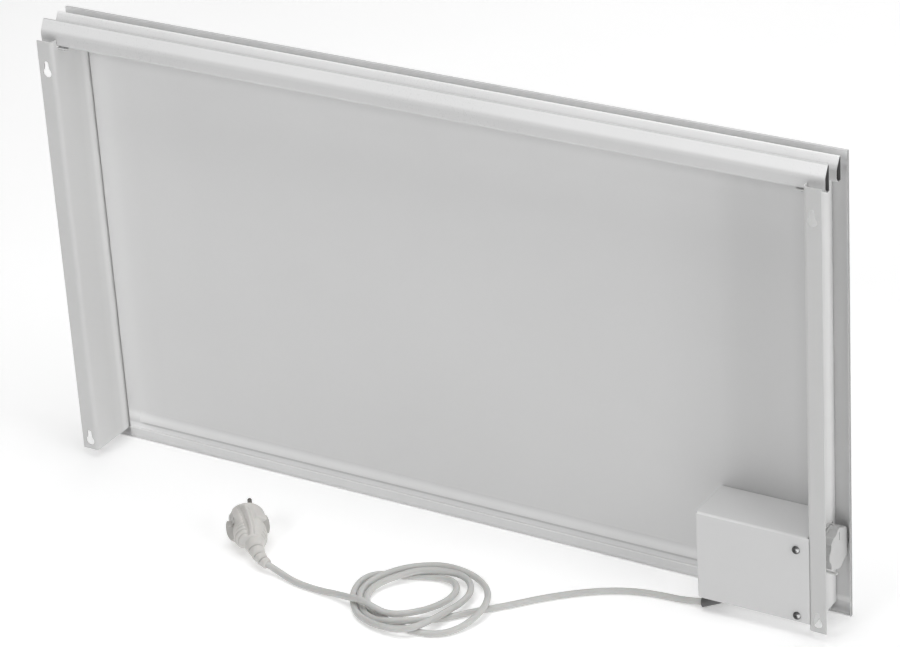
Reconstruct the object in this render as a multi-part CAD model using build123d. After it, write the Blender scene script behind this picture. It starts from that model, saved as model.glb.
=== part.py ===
from build123d import *
import math
import os

os.makedirs("parts", exist_ok=True)

# Sizes in millimetres. The heater is described as seen from behind (wall side):
#   x  to the right, measured from the middle of the panel
#   d  depth, measured forward from the wall plane
#   z  height above the lower edge of the front panel
# Part frame: X = -x, Y = -d, Z = z - ZK, so the warm face looks along -Y
# and the origin is the middle of the four keyholes, in the wall plane.

# front panel tray
W = 878.8
H = 500.0
D_RIM = 54.2
D_IN = 61.2
D_FRONT = 62.2
T_PAN = 1.0
LIP_X_LOW = 416.9
LIP_Z_LOW = 12.4
LIP_Z_HIGH = 14.5
R_PAN = 6.0

# rear sheet with its stiffening bead
X_SHEET = 417.4
D_SHEET = 57.2
T_SHEET = 0.6
Z_SHEET0 = 1.6
Z_SHEET1 = 498.4
X_BEAD = 401.0
X_LEAD = 395.5
Z_LEAD = 46.0

# wall brackets
XB_OUT = 438.7
XW_IN = 419.7
XW_OUT = 420.9
T_BR = 1.2
ZB0 = 10.1
ZB1 = 484.1
R_BEND = 4.6
X_FOOT = 407.5
X_KEY = 429.3
Z_KEY_LOW = 20.0
Z_KEY_HIGH = 449.6
R_KEY = 5.0
R_KEY_SLOT = 2.5
KEY_RISE = 10.2
ZK = (Z_KEY_LOW + Z_KEY_HIGH) / 2

# air deflector blades, section points (d, z)
X_BLADE = 438.4
T_BLADE = 0.8
BLADE_A = [(17.8, 475.4), (17.8, 502.4), (15.0, 502.4), (8.6, 491.2), (8.8, 479.4), (12.6, 475.4)]
BLADE_B = [(42.3, 475.6), (42.3, 500.4), (39.6, 500.4), (32.4, 489.4), (32.6, 479.6), (36.6, 475.6)]
R_BLADE = [0.9, 1.2, 1.6, 6.0, 4.5, 3.0]

# control box
XC0 = 300.3
XC1 = 419.4
XC2 = 421.3
ZC0 = 16.1
ZC1 = 112.8
DC1 = 56.8
T_COV = 0.9
X_SCR = 407.8
Z_SCR_HIGH = 97.6
Z_SCR_LOW = 23.9

# thermostat and knob
D_KNOB = 38.4
Z_KNOB = 85.1
R_KNOB = 22.2
X_KNOB0 = 424.6
X_KNOB1 = 435.2
R_SPIN = 3.0
CUT_Z0 = 58.5
CUT_Z1 = 103.8
CUT_D0 = 13.6
CUT_D1 = 55.0
TAB_D0 = 33.2
TAB_D1 = 36.6
Z_CH = (26.0, 42.0)
D_CH = 27.0

# cable gland in the underside of the box, its boot leads down to the cord
GX = 320.4
GD = 12.0
R_BOSS = 7.0
Z_BOSS = 12.4

# mains cord
D_CORD = 6.8
R_CORD = D_CORD / 2


def pt(x, d, z):
    return Vector(-x, -d, z - ZK)


def block(x0, x1, d0, d1, z0, z1):
    return Pos(-(x0 + x1) / 2, -(d0 + d1) / 2, (z0 + z1) / 2 - ZK) * Box(
        abs(x1 - x0), abs(d1 - d0), abs(z1 - z0))


def cyl_x(x0, x1, d, z, r):
    return Pos(-(x0 + x1) / 2, -d, z - ZK) * Rot(0, 90, 0) * Cylinder(r, abs(x1 - x0))


def cyl_d(d0, d1, x, z, r):
    return Pos(-x, -(d0 + d1) / 2, z - ZK) * Rot(90, 0, 0) * Cylinder(r, abs(d1 - d0))


def cyl_z(z0, z1, x, d, r):
    return Pos(-x, -d, (z0 + z1) / 2 - ZK) * Cylinder(r, abs(z1 - z0))


def outline(points, radii, place):
    """closed face through 2D points with rounded corners, put in space by place(u, v)"""
    n = len(points)
    ends = []
    for i in range(n):
        p0, p1, p2 = points[i - 1], points[i], points[(i + 1) % n]
        v1 = (p0[0] - p1[0], p0[1] - p1[1])
        v2 = (p2[0] - p1[0], p2[1] - p1[1])
        l1, l2 = math.hypot(*v1), math.hypot(*v2)
        u1 = (v1[0] / l1, v1[1] / l1)
        u2 = (v2[0] / l2, v2[1] / l2)
        half = math.acos(max(-1.0, min(1.0, u1[0] * u2[0] + u1[1] * u2[1]))) / 2
        r = radii[i]
        if r <= 0:
            ends.append((p1, None, p1))
            continue
        t = min(r / math.tan(half), 0.48 * min(l1, l2))
        r = t * math.tan(half)
        a = (p1[0] + u1[0] * t, p1[1] + u1[1] * t)
        c = (p1[0] + u2[0] * t, p1[1] + u2[1] * t)
        bis = (u1[0] + u2[0], u1[1] + u2[1])
        lb = math.hypot(*bis)
        h = r / math.sin(half) - r
        m = (p1[0] + bis[0] / lb * h, p1[1] + bis[1] / lb * h)
        ends.append((a, m, c))
    edges = []
    for i in range(n):
        a, m, c = ends[i]
        if m is not None:
            edges.append(ThreePointArc(place(*a), place(*m), place(*c)))
        nxt = ends[(i + 1) % n][0]
        if math.hypot(nxt[0] - c[0], nxt[1] - c[1]) > 1e-6:
            edges.append(Line(place(*c), place(*nxt)))
    return Face(Wire([e.edges()[0] for e in edges]))


def section_dz(points, radii, x0, x1):
    """closed section in the depth-height plane, drawn out along x"""
    xr = -max(x0, x1)
    face = outline(points, radii, lambda d, z: Vector(xr, -d, z - ZK))
    return extrude(face, amount=abs(x1 - x0), dir=(1, 0, 0))


def section_xd(points, radii, z0, z1):
    """closed section in plan, drawn up from z0 to z1"""
    face = outline(points, radii, lambda x, d: Vector(-x, -d, z0 - ZK))
    return extrude(face, amount=z1 - z0, dir=(0, 0, 1))


def one(shape):
    """a single solid from a boolean result"""
    s = shape.solids()
    return s[0] if len(s) == 1 else Compound(children=list(s))


def group(shapes):
    out = []
    for s in shapes:
        out.extend(s.solids())
    return Compound(children=out)


def pan_screw_d(x, z, d_face, r_head, h_head, r_shank, length, slot=0.0):
    """pan-head screw, axis along the depth, head outside the face at d_face"""
    head = cyl_d(d_face - h_head, d_face, x, z, r_head)
    rim = head.edges().filter_by(GeomType.CIRCLE).sort_by(Axis.Y)[-1]
    head = fillet([rim], h_head * 0.72)
    s = head + cyl_d(d_face, d_face + length, x, z, r_shank)
    if slot:
        a = block(x - r_head * 0.52, x + r_head * 0.52, d_face - h_head - 1, d_face - h_head + slot, z - 0.5, z + 0.5)
        b = block(x - 0.5, x + 0.5, d_face - h_head - 1, d_face - h_head + slot, z - r_head * 0.52, z + r_head * 0.52)
        s = s - a - b
    return s


nodes = {}

# ---------------------------------------------------------------- front panel
pan = block(-W / 2, W / 2, D_RIM, D_FRONT, 0, H)
front_edges = pan.edges().filter_by(lambda e: abs(e.center().Y + D_FRONT) < 0.01)
pan = fillet(front_edges, R_PAN)
pocket = block(-W / 2 + T_PAN, W / 2 - T_PAN, D_RIM - 1, D_IN, T_PAN, H - T_PAN)
pocket = fillet(pocket.edges().filter_by(lambda e: abs(e.center().Y + D_IN) < 0.01), R_PAN - T_PAN)
pan = pan - pocket
lip_low = block(-LIP_X_LOW, LIP_X_LOW, D_SHEET - T_PAN, D_SHEET, 0.5, LIP_Z_LOW)
lip_high = block(-W / 2 + 0.5, W / 2 - 0.5, D_RIM, D_RIM + T_PAN, H - LIP_Z_HIGH, H - 0.5)
pan = pan + lip_low + lip_high
nodes["front_panel"] = one(pan)

# ----------------------------------------------------------------- rear sheet
sheet = block(-X_SHEET, X_SHEET, D_SHEET, D_SHEET + T_SHEET, Z_SHEET0, Z_SHEET1)
bead_out = section_dz([(57.5, 35.5), (53.6, 25.8), (53.6, 22.8), (57.5, 20.6)], [0, 1.5, 1.2, 0], -X_BEAD, X_BEAD)
bead_in = section_dz([(58.2, 35.3), (57.4, 33.3), (54.4, 25.6), (54.4, 23.2), (57.4, 21.5), (58.2, 21.05)],
                     [0, 0, 1.0, 0.8, 0, 0], -X_BEAD + 0.7, X_BEAD - 0.7)
rear = sheet + bead_out - bead_in
rear = rear - cyl_d(56, 59, X_LEAD, Z_LEAD, 1.7)
nodes["rear_sheet"] = one(rear)

# -------------------------------------------------- element, busbars and felt
nodes["heating_element"] = block(-400, 400, 60.2, D_IN, 22, 478)
nodes["element_busbars"] = group([block(-400, -391, 59.7, 60.2, 24, 476), block(391, 400, 59.7, 60.2, 24, 476)])
nodes["insulation_felt"] = block(-403, 403, 57.9, 59.6, 36, 480) - cyl_d(57, 60.5, X_LEAD, Z_LEAD, 1.7)

# ---------------------------------------------------------------- wall brackets
foot_z = [60.0, 180.0, 320.0, 440.0]


def keyhole(x, z):
    lobe = cyl_d(-2, 4, x, z, R_KEY)
    slot = block(x - R_KEY_SLOT, x + R_KEY_SLOT, -2, 4, z, z + KEY_RISE) + cyl_d(-2, 4, x, z + KEY_RISE, R_KEY_SLOT)
    # shoulders between the round and the slot, so that the opening is a teardrop
    p = [Vector(-(x - 3.3), 2, z + 3.7 - ZK), Vector(-(x - 2.5), 2, z + 7.4 - ZK),
         Vector(-(x + 2.5), 2, z + 7.4 - ZK), Vector(-(x + 3.3), 2, z + 3.7 - ZK)]
    tear = extrude(Face(Wire(Polyline(*p, close=True).edges())), amount=6, dir=(0, -1, 0))
    return lobe + slot + tear


def bracket(side):
    pts = [(XB_OUT, 0), (XW_IN, 0), (XW_IN, 60.0), (X_FOOT, 60.0), (X_FOOT, D_IN), (XW_OUT, D_IN),
           (XW_OUT, T_BR), (XB_OUT, T_BR)]
    rad = [0.3, R_BEND, 0.8, 0.3, 0.3, 1.8, R_BEND - T_BR, 0.3]
    pts = [(side * x, d) for x, d in pts]
    b = section_xd(pts, rad, ZB0, ZB1)
    # seats for the two blades
    b = b - block(side * (X_FOOT - 2), side * (XW_OUT + 1), 8.2, 18.2, 475.2, ZB1 + 1)
    b = b - block(side * (X_FOOT - 2), side * (XW_OUT + 1), 32.0, 42.7, 475.4, ZB1 + 1)
    # seat tabs folded inward under the blades
    b = b + block(side * 407.7, side * (XW_IN + 0.3), 9.6, 17.4, 474.0, 475.2)
    b = b + block(side * 407.7, side * (XW_IN + 0.3), 34.0, 41.6, 474.2, 475.4)
    b = b - cyl_z(470, 477, side * 413.6, 14.4, 1.6) - cyl_z(470, 477, side * 413.6, 38.8, 1.6)
    for z in (Z_KEY_LOW, Z_KEY_HIGH):
        b = b - keyhole(side * X_KEY, z)
    for z in foot_z:
        b = b - cyl_d(59, 62, side * 413.4, z, 1.6)
    return b


left = bracket(-1)
right = bracket(1)
cut = block(XW_IN - 1, XW_OUT + 1, CUT_D0, CUT_D1, CUT_Z0, CUT_Z1)
cut = fillet(cut.edges().filter_by(Axis.X), 2.5)
right = right - cut
for zz in Z_CH:
    right = right - cyl_x(XW_IN - 1, XW_OUT + 1, D_CH, zz, 2.1)
# tab bent outward at the lower edge of the cut-out, under the knob
right = right + block(XW_IN + 0.3, 434.0, TAB_D0, TAB_D1, CUT_Z0 - 1.2, CUT_Z0)
nodes["left_bracket"] = one(left)
nodes["right_bracket"] = one(right)

studs, clips = [], []
for side in (-1, 1):
    for z in foot_z:
        studs.append(cyl_d(58.4, D_IN, side * 413.4, z, 1.5))
        clips.append(cyl_d(59.4, 60.0, side * 413.4, z, 3.5) - cyl_d(59, 61, side * 413.4, z, 1.5))
nodes["bracket_studs"] = group(studs)
nodes["stud_clips"] = group(clips)

# ------------------------------------------------------------ deflector blades


def blade(points):
    outer = section_dz(points, R_BLADE, -X_BLADE, X_BLADE)
    face = outline(points, R_BLADE, lambda d, z: Vector(-X_BLADE - 2, -d, z - ZK))
    inner_wire = face.outer_wire().offset_2d(-T_BLADE)
    inner = extrude(Face(inner_wire), amount=2 * X_BLADE + 4, dir=(1, 0, 0))
    return outer - inner


blade_a = blade(BLADE_A)
blade_b = blade(BLADE_B)
for side in (-1, 1):
    blade_a = blade_a - cyl_z(474, 477, side * 413.6, 14.4, 1.6)
    blade_b = blade_b - cyl_z(474, 477, side * 413.6, 38.8, 1.6)
nodes["air_deflector_rear"] = one(blade_a)
nodes["air_deflector_middle"] = one(blade_b)

bscrews = []
for side in (-1, 1):
    for d, zt in ((14.4, 474.0), (38.8, 474.2)):
        head = cyl_z(zt - 1.8, zt, side * 413.6, d, 2.7)
        head = fillet([head.edges().filter_by(GeomType.CIRCLE).sort_by(Axis.Z)[0]], 1.1)
        bscrews.append(head + cyl_z(zt, zt + 6.0, side * 413.6, d, 1.5))
nodes["deflector_screws"] = group(bscrews)

# ----------------------------------------------------------- control box cover
cover = block(XC0, XC2, 0, DC1, ZC0, ZC1)
cover = fillet(cover.edges().filter_by(lambda e: abs(e.center().Y) < 0.01
                                       and abs(e.center().X + XC2) > 1.0), 1.5)
cover = cover - block(XC0 + T_COV, XC1 + 2, T_COV, DC1 + 2, ZC0 + T_COV, ZC1 - T_COV)
# corner reliefs where the folds meet
cover = cover - cyl_d(-1, 2.6, XC0 + 0.6, ZC1 - 0.6, 1.1)
cover = cover - cyl_d(-1, 2.6, XC0 + 0.6, ZC0 + 0.6, 1.1)
for z in (Z_SCR_HIGH, Z_SCR_LOW):
    cover = cover - cyl_d(-1, 2, X_SCR, z, 2.3)
# gland hole in the underside
cover = cover - cyl_z(ZC0 - 1, ZC0 + 2, GX, GD, 6.1)
# the rear plate reaches over the bend of the bracket, the side walls stop at it
cover = cover - block(XC1, XC2 + 1, 0.8, DC1 + 2, ZC0 - 1, ZC1 + 1)
# relief in the left wall where it crosses the bead of the rear sheet
cover = cover - block(XC0 - 1, XC0 + 2, 53.2, DC1 + 2, 17.6, 36.2)
nodes["control_box_cover"] = one(cover)

nodes["cover_screws"] = group([pan_screw_d(X_SCR, z, 0.0, 4.1, 2.4, 2.0, 7.0, 1.2)
                               for z in (Z_SCR_HIGH, Z_SCR_LOW)])

# ------------------------------------------------------------- control chassis
chassis = block(417.9, XC1, 1.2, 56.2, 18.0, 111.0)
chassis = chassis + block(398.0, XC1, 1.2, 2.7, 18.0, 108.0)
for z in (Z_SCR_HIGH, Z_SCR_LOW):
    chassis = chassis - cyl_d(0, 4, X_SCR, z, 2.05)
chassis = chassis - cyl_x(416, 421, D_KNOB, Z_KNOB, 5.2)
for dz in (-14.0, 14.0):
    chassis = chassis - cyl_x(416, 421, D_KNOB, Z_KNOB + dz, 2.1)
for zz in Z_CH:
    chassis = chassis - cyl_x(416, 421, D_CH, zz, 2.1)
chassis = chassis - cyl_x(416, 421, 44.0, 33.0, 2.1)
nodes["control_chassis"] = one(chassis)


def pan_screw_x(x_face, d, z, r_head, h_head, r_shank, length, slot=0.8):
    """pan-head screw along x with its head on the outer side of the face"""
    head = cyl_x(x_face, x_face + h_head, d, z, r_head)
    rim = head.edges().filter_by(GeomType.CIRCLE).sort_by(Axis.X)[0]
    head = fillet([rim], h_head * 0.6)
    s = head + cyl_x(x_face - length, x_face, d, z, r_shank)
    s = s - block(x_face + h_head - slot, x_face + h_head + 1, d - r_head * 0.5, d + r_head * 0.5, z - 0.4, z + 0.4)
    s = s - block(x_face + h_head - slot, x_face + h_head + 1, d - 0.4, d + 0.4, z - r_head * 0.5, z + r_head * 0.5)
    return s


def hex_nut_x(x0, x1, d, z, flats, r_hole):
    n = extrude(Plane.YZ * RegularPolygon(flats / math.sqrt(3), 6), amount=x1 - x0)
    n = Pos(-x1, -d, z - ZK) * n
    return n - cyl_x(x0 - 1, x1 + 1, d, z, r_hole)


nodes["chassis_screws"] = group([pan_screw_x(XW_OUT, D_CH, zz, 3.4, 1.9, 2.0, 8.0) for zz in Z_CH])
nodes["chassis_nuts"] = group([hex_nut_x(414.7, 417.9, D_CH, zz, 7.0, 2.02) for zz in Z_CH])

# ------------------------------------------------------------------ thermostat
th = block(388.0, 417.9, D_KNOB - 15.0, D_KNOB + 15.0, Z_KNOB - 11.0, Z_KNOB + 11.0)
th = fillet(th.edges().filter_by(Axis.X), 2.0)
neck = cyl_x(417.9, 421.4, D_KNOB, Z_KNOB, 5.0)
th = th + neck - cyl_x(400.0, 423.0, D_KNOB, Z_KNOB, R_SPIN + 0.05)
lugs = block(416.3, 417.9, D_KNOB - 5.5, D_KNOB + 5.5, Z_KNOB - 18.5, Z_KNOB + 18.5)
th = th + lugs - cyl_x(400.0, 423.0, D_KNOB, Z_KNOB, R_SPIN + 0.05)
for dz in (-14.0, 14.0):
    th = th - cyl_x(407.0, 419, D_KNOB, Z_KNOB + dz, 1.95)
nodes["thermostat_body"] = one(th)
nodes["thermostat_screws"] = group([pan_screw_x(XC1, D_KNOB, Z_KNOB + dz, 3.2, 1.6, 1.9, 5.5, 0.7) for dz in (-14.0, 14.0)])
nodes["thermostat_terminals"] = group([block(379.5, 388.0, D_KNOB + s * 9 - 3.15, D_KNOB + s * 9 + 3.15, Z_KNOB - 0.4, Z_KNOB + 0.4)
                                       for s in (-1, 1)])

# the spindle turns in the thermostat's neck and carries a flat for the knob
sp = cyl_x(402.0, 431.0, D_KNOB, Z_KNOB, R_SPIN)
sp = sp - block(424.4, 432.0, D_KNOB - 4, D_KNOB + 4, Z_KNOB + 1.5, Z_KNOB + 4)
nodes["thermostat_spindle"] = one(sp)

# knob with eight finger flutes, a skirt and an indicator groove
kn = cyl_x(X_KNOB0, X_KNOB1, D_KNOB, Z_KNOB, R_KNOB)
face_edge = kn.edges().filter_by(GeomType.CIRCLE).sort_by(Axis.X)[0]
kn = fillet([face_edge], 0.6)
for i in range(8):
    a = math.radians(22.5 + 45.0 * i)
    r = R_KNOB + 9.7
    kn = kn - cyl_x(X_KNOB0 + 1.6, X_KNOB1 + 1, D_KNOB + r * math.cos(a), Z_KNOB + r * math.sin(a), 11.6)
hollow = cyl_x(X_KNOB0 - 1, X_KNOB1 - 2.0, D_KNOB, Z_KNOB, R_KNOB - 5.2)
boss = cyl_x(X_KNOB0 + 0.2, X_KNOB1 - 1.0, D_KNOB, Z_KNOB, 6.2)
kn = kn - hollow + boss
bore = cyl_x(X_KNOB0 - 1, 431.2, D_KNOB, Z_KNOB, R_SPIN + 0.03)
bore = bore - block(424.0, 433.0, D_KNOB - 4, D_KNOB + 4, Z_KNOB + 1.54, Z_KNOB + 4.2)
kn = kn - bore
kn = kn - block(X_KNOB1 - 0.6, X_KNOB1 + 1, D_KNOB - 0.7, D_KNOB + 0.7, Z_KNOB + 9.0, Z_KNOB + 18.5)
nodes["thermostat_knob"] = one(kn)

# bezel ring clipped in the cut-out of the bracket
bz = cyl_x(421.0, 423.6, D_KNOB, Z_KNOB, 22.6) - cyl_x(418, 425, D_KNOB, Z_KNOB, 10.5)
nodes["knob_bezel"] = one(bz)

# -------------------------------------------- terminal block, cut-out and earth
tb = block(322.0, 352.0, 44.0, D_SHEET, 60.0, 76.0)
for i in range(3):
    x = 327.0 + 10.0 * i
    tb = tb - cyl_d(43.0, 50.0, x, 64.0, 2.05) - cyl_d(43.0, 50.0, x, 72.0, 2.05)
    tb = tb - cyl_z(59.0, 77.0, x, 51.5, 1.9)
tb = tb - cyl_d(43.0, 58.0, 332.0, 68.0, 1.6)
nodes["terminal_block"] = one(tb)
nodes["terminal_screws"] = group([cyl_d(44.6, 49.4, 327.0 + 10.0 * i, z, 2.0) for i in range(3) for z in (64.0, 72.0)])

tc = cyl_d(46.0, D_SHEET, 376.0, 60.0, 8.0)
tc = tc + block(364.0, 388.0, 56.2, D_SHEET, 55.5, 64.5)
nodes["thermal_cutoff"] = one(tc)
nodes["cutoff_terminals"] = group([block(376.0 + s * 4.5 - 0.4, 376.0 + s * 4.5 + 0.4, 38.5, 46.0, 57.0, 63.0) for s in (-1, 1)])

es = cyl_x(412.2, 417.9, 44.0, 33.0, 1.9) + cyl_x(410.2, 412.2, 44.0, 33.0, 3.6)
nodes["earth_screw"] = one(es)
er = cyl_x(412.3, 413.1, 44.0, 33.0, 4.6) - cyl_x(412.0, 414.0, 44.0, 33.0, 2.0)
er = er + block(412.3, 413.1, 42.4, 45.6, 37.0, 44.0)
nodes["earth_ring"] = one(er)
nodes["earth_nut"] = hex_nut_x(413.2, 416.4, 44.0, 33.0, 7.0, 1.92)

# ----------------------------------------------------------------- cable gland
C0 = (301.2, 8.9, 6.2)
dirv = Vector(-(281.0 - C0[0]), -(7.0 - C0[1]), 3.6 - C0[2]).normalized()
boss = cyl_z(Z_BOSS, ZC0, GX, GD, R_BOSS)
boss = fillet([boss.edges().filter_by(GeomType.CIRCLE).sort_by(Axis.Z)[0]], 1.8)
back = pt(322.6, 11.4, 15.0)
away = (pt(*C0) - back).normalized()
sleeve = loft([Plane(origin=pt(*C0), z_dir=dirv) * Circle(5.5), Plane(origin=back, z_dir=away) * Circle(4.9)])
sleeve = sleeve - block(290, 340, -10, 40, ZC0, ZC0 + 20)
neck = cyl_z(ZC0, ZC0 + 6.0, GX, GD, 6.0)
gland = boss + sleeve + neck
gland = gland - cyl_z(13.2, ZC0 + 8, GX, GD, 3.45)
nodes["cable_gland"] = one(gland)
ln = Pos(-GX, -GD, ZC0 + T_COV - ZK) * extrude(RegularPolygon(9.2, 6), amount=3.4)
ln = ln - cyl_z(ZC0, ZC0 + 8, GX, GD, 6.03)
nodes["gland_locknut"] = one(ln)

# ---------------------------------------------------------------- inner wires


def tube(points, radii, r):
    line = FilletPolyline(*[pt(*p) for p in points], radius=radii)
    prof = Plane(origin=line @ 0, z_dir=line % 0) * Circle(r)
    return sweep(prof, path=line)


def corner_radii(points, limit=1e9):
    out = []
    for a, b, c in zip(points, points[1:], points[2:]):
        va, vb = Vector(*b) - Vector(*a), Vector(*c) - Vector(*b)
        ang = math.radians(va.get_angle(vb))
        out.append(min(limit, 0.45 * min(va.length, vb.length) / math.tan(ang / 2)))
    return out


def wire(points, r=1.1, limit=8.0):
    return tube(points, corner_radii(points, limit), r)


nodes["wire_live"] = wire([(326.9, 51.5, 59.4), (326.9, 50.5, 46.0), (321.5, 27.0, 32.0), (319.0, 12.8, 27.0), (319.0, 12.8, 14.0)])
nodes["wire_neutral"] = wire([(336.9, 51.5, 59.4), (337.3, 50.0, 45.0), (328.5, 28.0, 31.0), (321.8, 12.8, 27.0), (321.8, 12.8, 14.0)])
nodes["wire_earth"] = wire([(412.7, 44.0, 44.4), (412.2, 43.8, 53.0), (402.0, 40.0, 57.5), (380.0, 26.0, 46.0), (354.0, 13.0, 33.0),
                            (333.0, 8.0, 27.0), (320.4, 10.4, 23.0), (320.4, 10.4, 14.0)])
nodes["wire_thermostat"] = wire([(326.9, 51.5, 76.6), (328.0, 46.0, 96.0), (350.0, 36.0, 100.0), (370.0, 29.4, 92.0), (379.2, 29.4, 85.2)])
nodes["wire_cutoff"] = wire([(379.2, 47.4, 85.1), (366.0, 44.0, 84.0), (361.0, 36.0, 72.0), (371.5, 31.5, 60.0), (371.5, 38.3, 60.0)], limit=4.0)
nodes["wire_element"] = wire([(380.5, 38.3, 60.0), (380.5, 33.0, 60.0), (385.0, 33.0, 50.0), (395.5, 42.0, Z_LEAD), (395.5, 59.6, Z_LEAD)], limit=6.0)

# ------------------------------------------------------------------ mains cord
run_a = [C0, (281.0, 7.0, 3.6), (258.0, 6.2, 3.41), (236.0, 3.0, 3.41), (214.0, -4.4, 3.41), (193.0, -15.8, 3.41),
         (172.0, -31.6, 3.41), (151.0, -50.6, 3.41), (132.0, -71.6, 3.41), (115.2, -88.2, 3.41)]
run_b = [(-15.6, -138.0, 8.6), (-34.0, -133.2, 6.0), (-54.0, -131.8, 3.8), (-74.0, -130.4, 3.41), (-92.0, -127.2, 3.5),
         (-110.2, -121.9, 5.6), (-127.3, -118.9, 9.6)]
COIL_C = (48.0, -106.0)
COIL_A, COIL_B = 75.6, 67.6
HOLE_C = (38.5, -104.0)
HOLE_A, HOLE_B = 31.5, 30.0
COIL_H = 18.0

coil = extrude(Pos(-COIL_C[0], -COIL_C[1], -ZK) * Ellipse(COIL_A, COIL_B), amount=COIL_H)
coil = coil - extrude(Pos(-HOLE_C[0], -HOLE_C[1], -ZK - 1) * Ellipse(HOLE_A, HOLE_B), amount=COIL_H + 2)
coil = fillet(coil.edges().filter_by(lambda e: abs(e.center().Z - (COIL_H - ZK)) < 0.01), 6.0)
nodes["cord_coil"] = one(coil)

for name, pts in (("cord_run_heater", run_a), ("cord_run_plug", run_b)):
    radii = corner_radii(pts)
    t = tube(pts, radii, R_CORD)
    line = FilletPolyline(*[pt(*p) for p in pts], radius=radii)
    print(name, "length", round(line.length, 1), "radii", [round(r, 1) for r in radii],
          "volume ratio", round(t.volume / (math.pi * R_CORD ** 2 * line.length), 4))
    nodes[name] = t

# ------------------------------------------------------------------------ plug
# local axes: Z along the body from the pins to the cord, X along the earth contacts
PC = (-172.6, -82.4, 21.8)
b_dir = Vector(0.597, -0.796, -0.105)
e_dir = Vector(0.662, 0.562, -0.496)
to_part = lambda v: Vector(-v.X, -v.Y, v.Z)
pz = to_part(b_dir).normalized()
px = to_part(e_dir)
px = (px - pz * px.dot(pz)).normalized()
PP = Plane(origin=pt(*PC), x_dir=px, z_dir=pz)

barrel = Pos(0, 0, -10.5) * Cylinder(18.8, 13.0)
barrel = fillet(barrel.edges().filter_by(GeomType.CIRCLE).sort_by(Axis.Z)[0:1], 1.2)
# the collar stands proud on opposite quarters, each beside an earth contact slot
collar = Pos(0, 0, 0.5) * Cylinder(22.4, 9.0)
collar = fillet(collar.edges().filter_by(GeomType.CIRCLE), 1.8)
ears = [collar & (Pos(15.0, 11.0, 0.5) * Box(30.0, 15.0, 12.0)), collar & (Pos(-15.0, -11.5, 0.5) * Box(30.0, 16.0, 12.0))]
# stations of the grip: z, half width, half height, offsets; it leans to the side where the cord leaves
GRIP = [(-4.0, 18.8, 18.8, 0.0, 0.0), (4.5, 16.8, 17.2, 1.0, 0.0), (12.0, 17.6, 16.0, 2.4, -0.6),
        (18.0, 17.2, 15.0, 2.6, -1.4), (23.0, 14.2, 11.8, 3.6, -1.0), (27.0, 10.2, 9.2, 5.4, 0.0)]
grip = loft([Pos(ox, oy, z) * Ellipse(rx, ry) for z, rx, ry, ox, oy in GRIP])
body = barrel + grip + ears[0] + ears[1]
for s in (-1, 1):
    body = body - Pos(s * 20.0, 0, -6.8) * Box(6.4, 7.0, 23.6)
nodes["plug_body"] = one(PP.location * body)

pins = []
for s in (-1, 1):
    p = Pos(0, s * 9.5, -26.5) * Cylinder(2.4, 19.0)
    p = fillet([p.edges().filter_by(GeomType.CIRCLE).sort_by(Axis.Z)[0]], 1.6)
    pins.append(PP.location * p)
nodes["plug_pins"] = group(pins)
strips = []
for s in (-1, 1):
    st = Pos(s * 17.25, 0, -6.1) * Box(0.9, 5.0, 21.0)
    strips.append(PP.location * st)
nodes["plug_earth_contacts"] = group(strips)

# ribbed strain relief between the grip and the cord
S0 = PP.from_local_coords(Vector(GRIP[-1][3], 0, GRIP[-1][0]))
S1 = pt(*run_b[-1])
sdir = (S1 - S0).normalized()
R_S0, R_S1 = 9.4, 5.4
sr = loft([Plane(origin=S0, z_dir=sdir) * Circle(R_S0), Plane(origin=S1, z_dir=sdir) * Circle(R_S1)])
L = (S1 - S0).length
for k in range(5):
    c = S0 + sdir * (L * (0.2 + 0.16 * k))
    r = R_S0 + (R_S1 - R_S0) * (0.2 + 0.16 * k)
    pl = Plane(origin=c, z_dir=sdir)
    groove = pl.location * (Cylinder(r + 2, 2.0) - Cylinder(r - 0.9, 2.0))
    sr = sr - groove
sr = sr - PP.location * (Pos(0, 0, 13.5) * Cylinder(22, 27.0))
nodes["plug_strain_relief"] = one(sr)

for name, shape in nodes.items():
    export_step(shape, "parts/" + name + ".step")
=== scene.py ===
import bpy
import math
from mathutils import Vector, Matrix


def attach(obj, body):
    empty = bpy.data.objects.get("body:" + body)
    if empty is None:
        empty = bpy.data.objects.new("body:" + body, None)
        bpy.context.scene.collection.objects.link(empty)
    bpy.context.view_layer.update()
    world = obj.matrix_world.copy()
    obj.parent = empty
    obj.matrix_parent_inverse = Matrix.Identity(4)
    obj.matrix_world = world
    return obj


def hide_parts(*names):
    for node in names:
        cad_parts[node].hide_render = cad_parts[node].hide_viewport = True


# Infrared panel heater seen from its wall side. Metres, row frame: the warm
# face looks along -Y, the origin is the middle of the four keyholes, the heater
# stands on its lower edge at Z = FLOOR.
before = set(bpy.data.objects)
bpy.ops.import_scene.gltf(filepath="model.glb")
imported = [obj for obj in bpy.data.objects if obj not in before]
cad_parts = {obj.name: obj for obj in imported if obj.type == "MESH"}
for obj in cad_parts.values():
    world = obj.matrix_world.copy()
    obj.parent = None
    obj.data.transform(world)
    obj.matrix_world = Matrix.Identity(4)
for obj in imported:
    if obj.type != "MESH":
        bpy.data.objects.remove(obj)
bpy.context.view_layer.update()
scene = bpy.context.scene
scene.view_settings.view_transform = "Standard"
scene.view_settings.look = "None"
scene.view_settings.exposure = 0.0
scene.view_settings.gamma = 1.0

FLOOR = -0.2348

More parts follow.
